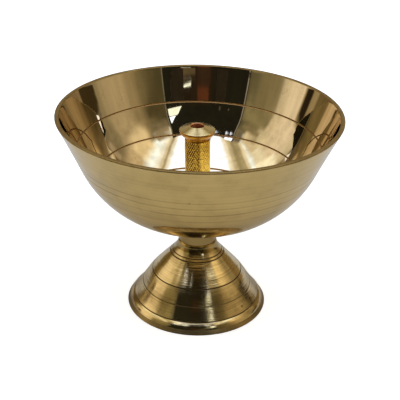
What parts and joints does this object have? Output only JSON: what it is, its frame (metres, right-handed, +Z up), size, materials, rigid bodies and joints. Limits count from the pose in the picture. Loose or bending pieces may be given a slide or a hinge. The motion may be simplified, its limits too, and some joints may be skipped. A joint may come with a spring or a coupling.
{
  "type": "footed oil lamp",
  "caption": "Footed oil lamp: a flared open bowl on a hollow conical foot, with a knurled tubular wick holder that screws out of the middle of the bowl.",
  "frame": {"origin": "middle of the ring that the foot stands on", "axes": "+Z up along the lamp's turning axis; X and Y are alike"},
  "size_m": [0.1, 0.1, 0.0757],
  "materials": {
    "bowl_brass": "mirror polished inside, satin turned outside",
    "foot_brass": "bright turned with fine tool marks",
    "wick_holder_brass": "bright turned head, diamond knurled shank",
    "plated_steel": "zinc plated",
    "vulcanised_fibre": "matt red-brown fibre"
  },
  "bodies": {
    "lamp": {"bowl": "bowl_brass", "foot": "foot_brass", "foot_screw": "plated_steel", "foot_screw_washer": "plated_steel"},
    "seal": {"wick_holder_washer": "vulcanised_fibre"},
    "wick_holder": {"wick_holder": "wick_holder_brass"}
  },
  "joints": [
    {"name": "wick_holder_lift", "type": "slide", "parent": "lamp", "child": "seal", "axis": [0, 0, 1], "range_m": [0, 0.00451]},
    {"name": "wick_holder_turn", "type": "hinge", "parent": "seal", "child": "wick_holder", "pos_m": [0, 0, 0.04], "axis": [0, 0, 1], "range_deg": [0, 1620]}
  ],
  "couplings": [
    {"joint": "wick_holder_lift", "follows": "wick_holder_turn", "m_per_rad": 0.00015915}
  ]
}
